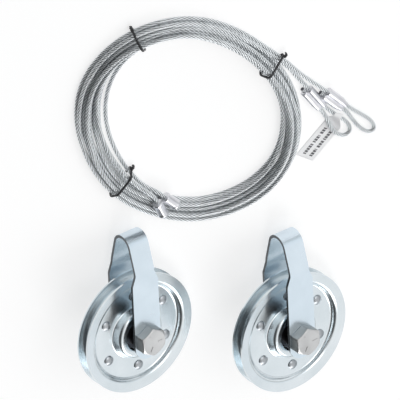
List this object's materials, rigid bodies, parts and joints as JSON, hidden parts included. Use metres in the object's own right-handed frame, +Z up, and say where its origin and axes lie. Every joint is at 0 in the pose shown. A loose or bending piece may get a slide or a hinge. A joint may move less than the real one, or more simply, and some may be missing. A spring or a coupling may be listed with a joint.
{
  "type": "cable pulley and lifting cable kit",
  "caption": "Stamped steel cable pulleys in strap forks with ball bearings, and a tied coil of wire-rope lifting cables with crimped eye and stop ends.",
  "frame": {"origin": "on the floor, under the middle of the box round the two pulleys", "axes": "+X along the row of pulleys, +Y from the pulleys towards the coil, +Z up"},
  "size_m": [0.1928, 0.265, 0.045],
  "materials": {
    "sheave_zinc": "zinc plated pressed steel, bright rolled rim",
    "rivet_steel": "zinc plated, satin",
    "race_steel": "turned, satin",
    "ball_steel": "polished ball steel",
    "fork_zinc": "zinc plated strap, pale blue-grey",
    "bolt_steel": "zinc plated forged head",
    "cable_wire": "galvanised 7 x 7 wire rope",
    "sleeve_aluminium": "pressed aluminium, bright",
    "tie_black": "plastic coated wire",
    "label_white": "printed film"
  },
  "bodies": {
    "cables": {"cable_coil": "cable_wire", "cable_a_eye": "cable_wire", "cable_b_eye": "cable_wire", "cable_a_tail": "cable_wire", "cable_b_tail": "cable_wire", "eye_sleeve_a": "sleeve_aluminium", "eye_sleeve_b": "sleeve_aluminium", "stop_sleeve_a": "sleeve_aluminium", "stop_sleeve_b": "sleeve_aluminium", "tie_top_left": "tie_black", "tie_top_right": "tie_black", "tie_bottom_left": "tie_black", "cable_label": "label_white"},
    "left_fork": {"left_fork_strap": "fork_zinc", "left_axle_bolt": "bolt_steel", "left_axle_nut": "bolt_steel", "left_bearing_inner_race": "race_steel"},
    "left_sheave": {"left_sheave_front_disc": "sheave_zinc", "left_sheave_rear_disc": "sheave_zinc", "left_sheave_rivets": "rivet_steel", "left_bearing_outer_race": "race_steel"},
    "left_balls": {"left_bearing_balls": "ball_steel"},
    "right_fork": {"right_fork_strap": "fork_zinc", "right_axle_bolt": "bolt_steel", "right_axle_nut": "bolt_steel", "right_bearing_inner_race": "race_steel"},
    "right_sheave": {"right_sheave_front_disc": "sheave_zinc", "right_sheave_rear_disc": "sheave_zinc", "right_sheave_rivets": "rivet_steel", "right_bearing_outer_race": "race_steel"},
    "right_balls": {"right_bearing_balls": "ball_steel"}
  },
  "joints": [
    {"name": "left_pulley_lift", "type": "slide", "parent": "cables", "child": "left_fork", "axis": [0, 0, 1], "range_m": [0, 0.1]},
    {"name": "left_sheave_spin", "type": "hinge", "parent": "left_fork", "child": "left_sheave", "pos_m": [-0.0467, -0.01382, 0.02251], "axis": [0.3991, 0.2711, 0.8759], "continuous": true},
    {"name": "left_ball_set_spin", "type": "hinge", "parent": "left_fork", "child": "left_balls", "pos_m": [-0.0467, -0.01382, 0.02251], "axis": [0.3991, 0.2711, 0.8759], "continuous": true},
    {"name": "right_pulley_lift", "type": "slide", "parent": "cables", "child": "right_fork", "axis": [0, 0, 1], "range_m": [0, 0.1]},
    {"name": "right_sheave_spin", "type": "hinge", "parent": "right_fork", "child": "right_sheave", "pos_m": [0.0467, -0.01382, 0.02251], "axis": [0.3991, 0.2711, 0.8759], "continuous": true},
    {"name": "right_ball_set_spin", "type": "hinge", "parent": "right_fork", "child": "right_balls", "pos_m": [0.0467, -0.01382, 0.02251], "axis": [0.3991, 0.2711, 0.8759], "continuous": true}
  ],
  "couplings": [
    {"joint": "left_ball_set_spin", "follows": "left_sheave_spin", "ratio": 0.6393},
    {"joint": "right_ball_set_spin", "follows": "right_sheave_spin", "ratio": 0.6393}
  ]
}
